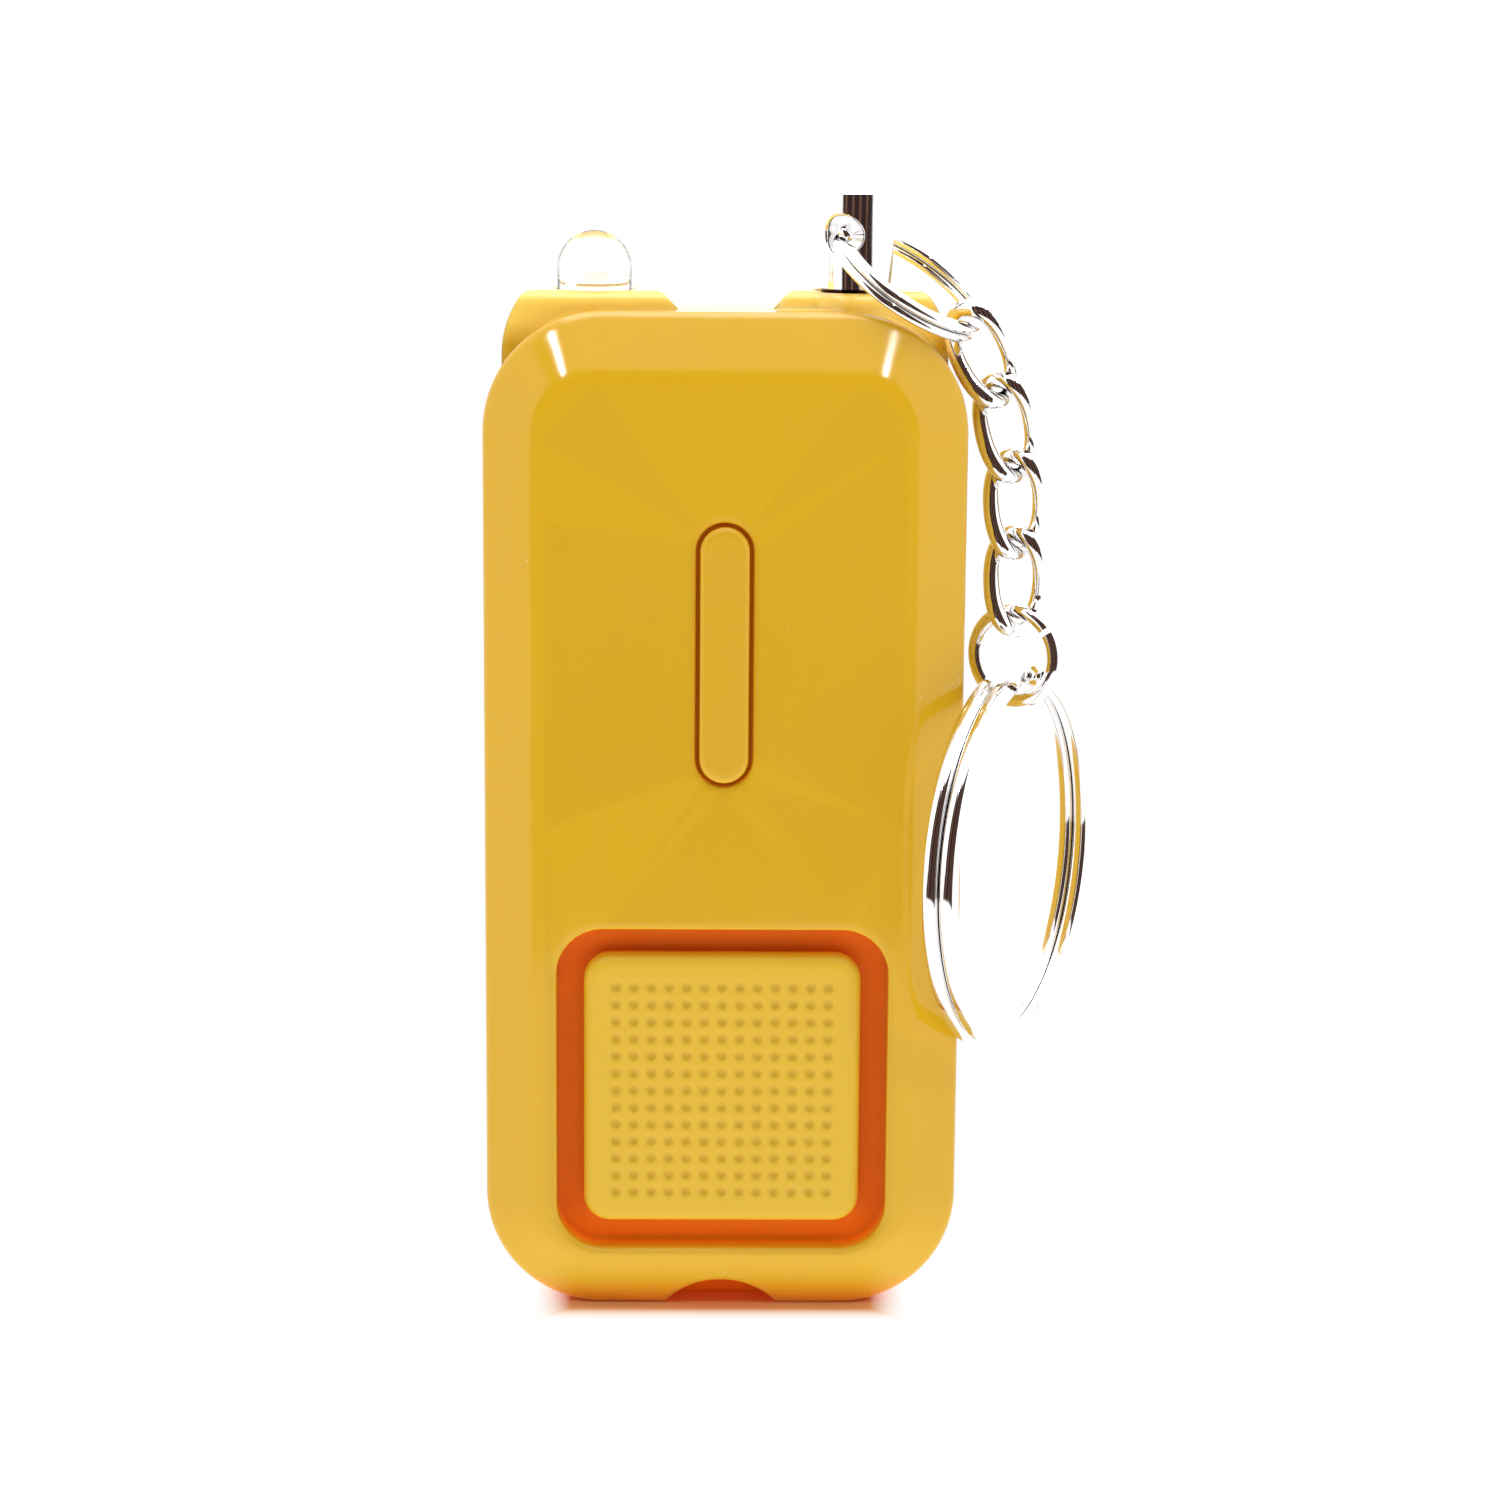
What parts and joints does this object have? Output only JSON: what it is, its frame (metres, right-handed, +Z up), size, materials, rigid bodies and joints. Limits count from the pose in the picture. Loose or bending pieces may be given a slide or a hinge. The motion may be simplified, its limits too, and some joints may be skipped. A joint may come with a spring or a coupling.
{
  "type": "personal alarm",
  "caption": "Flat personal alarm with a bevelled plastic case, torch lamp, siren grille, push button, and a pull pin on a small ring, curb chain and split key ring.",
  "frame": {"origin": "centre of the casing's bottom face, half way through its thickness", "axes": "+X to the right seen from the front, +Y towards the back, +Z up to the lamp and the pull pin; the front face looks along -Y"},
  "size_m": [0.051, 0.0294, 0.0909],
  "materials": {
    "yellow_shell": "satin gloss",
    "clear_lens": "clear",
    "bright_metal": "bright plated",
    "spring_brass": "rolled strip",
    "tinned_metal": "tinned",
    "cell_steel": "pressed, nickel plated",
    "screw_steel": "zinc plated",
    "board_green": "lacquered",
    "dark_moulding": "matt",
    "copper_wire": "enamelled copper",
    "grey_moulding": "matt",
    "disc_brass": "rolled",
    "pale_ceramic": "silvered ceramic",
    "dark_rubber": "matt"
  },
  "bodies": {
    "casing": {"front_cover": "yellow_shell", "rear_cover": "yellow_shell", "siren_grille": "yellow_shell", "torch_lens": "clear_lens", "case_screws": "screw_steel", "circuit_board": "board_green", "tact_switch": "tinned_metal", "siren_chip": "dark_moulding", "chip_resistors": "dark_moulding", "coil_bobbin": "dark_moulding", "coil_winding": "copper_wire", "torch_leads": "tinned_metal", "pin_socket": "grey_moulding", "leaf_base": "dark_moulding", "battery_cradle": "grey_moulding", "contact_minus": "tinned_metal", "contact_plus": "tinned_metal", "cell_1": "cell_steel", "cell_2": "cell_steel", "cell_3": "cell_steel", "siren_chamber": "grey_moulding", "siren_disc": "disc_brass", "siren_ceramic": "pale_ceramic", "siren_gasket": "dark_rubber", "siren_retainer": "grey_moulding", "siren_wires": "dark_rubber"},
    "pin": {"pull_pin": "bright_metal"},
    "leaf_front": {"switch_leaf_front": "spring_brass"},
    "leaf_back": {"switch_leaf_back": "spring_brass"},
    "small_ring": {"pin_ring": "bright_metal"},
    "link_1": {"chain_link_1": "bright_metal"},
    "link_2": {"chain_link_2": "bright_metal"},
    "link_3": {"chain_link_3": "bright_metal"},
    "link_4": {"chain_link_4": "bright_metal"},
    "round_ring": {"jump_ring": "bright_metal"},
    "large_ring": {"key_ring": "bright_metal"},
    "button": {"torch_button": "yellow_shell"},
    "plunger": {"tact_plunger": "dark_moulding"},
    "door": {"battery_door": "yellow_shell"},
    "door_fixing": {"door_screw": "screw_steel"}
  },
  "joints": [
    {"name": "pin_pull", "type": "slide", "parent": "casing", "child": "pin", "axis": [0, 0, 1], "range_m": [0, 0.018]},
    {"name": "leaf_front_close", "type": "hinge", "parent": "casing", "child": "leaf_front", "pos_m": [0.0106, -0.0001, 0.05875], "axis": [-1, 0, 0], "range_deg": [0, 10.2]},
    {"name": "leaf_back_close", "type": "hinge", "parent": "casing", "child": "leaf_back", "pos_m": [0.0106, 0.0045, 0.05875], "axis": [1, 0, 0], "range_deg": [0, 10.2]},
    {"name": "small_ring_swing", "type": "hinge", "parent": "pin", "child": "small_ring", "pos_m": [0.0106, 0.0022, 0.0873], "axis": [-0.5, -0.866, 0], "range_deg": [0, 90]},
    {"name": "link_1_swing", "type": "hinge", "parent": "small_ring", "child": "link_1", "pos_m": [0.0194, -0.00219, 0.08079], "axis": [0, -1, 0], "range_deg": [0, 14]},
    {"name": "link_2_swing", "type": "hinge", "parent": "link_1", "child": "link_2", "pos_m": [0.02206, -0.00219, 0.07528], "axis": [0, -1, 0], "range_deg": [0, 24]},
    {"name": "link_3_swing", "type": "hinge", "parent": "link_2", "child": "link_3", "pos_m": [0.02337, -0.00219, 0.06917], "axis": [0, -1, 0], "range_deg": [0, 24]},
    {"name": "link_4_swing", "type": "hinge", "parent": "link_3", "child": "link_4", "pos_m": [0.02362, -0.00219, 0.06293], "axis": [0, -1, 0], "range_deg": [0, 24]},
    {"name": "round_ring_swing", "type": "hinge", "parent": "link_4", "child": "round_ring", "pos_m": [0.02362, -0.00219, 0.05664], "axis": [0, -1, 0], "range_deg": [0, 20]},
    {"name": "large_ring_swing", "type": "hinge", "parent": "round_ring", "child": "large_ring", "pos_m": [0.02362, -0.00219, 0.05372], "axis": [-0.5736, -0.8192, 0], "range_deg": [0, 60]},
    {"name": "button_press", "type": "slide", "parent": "casing", "child": "button", "axis": [0, 1, 0], "range_m": [0, 0.0004], "stiffness_N_per_m": 4000, "springref_m": -0.0002},
    {"name": "plunger_press", "type": "slide", "parent": "casing", "child": "plunger", "axis": [0, 1, 0], "range_m": [0, 0.0004]},
    {"name": "door_lift", "type": "slide", "parent": "casing", "child": "door", "axis": [0, 1, 0], "range_m": [0, 0.012]},
    {"name": "door_screw_out", "type": "slide", "parent": "door", "child": "door_fixing", "axis": [0, 1, 0], "range_m": [0, 0.0045]}
  ],
  "couplings": [
    {"joint": "leaf_front_close", "follows": "pin_pull", "rad_per_m": 9.8902},
    {"joint": "leaf_back_close", "follows": "pin_pull", "rad_per_m": 9.8902},
    {"joint": "plunger_press", "follows": "button_press", "ratio": 1}
  ]
}
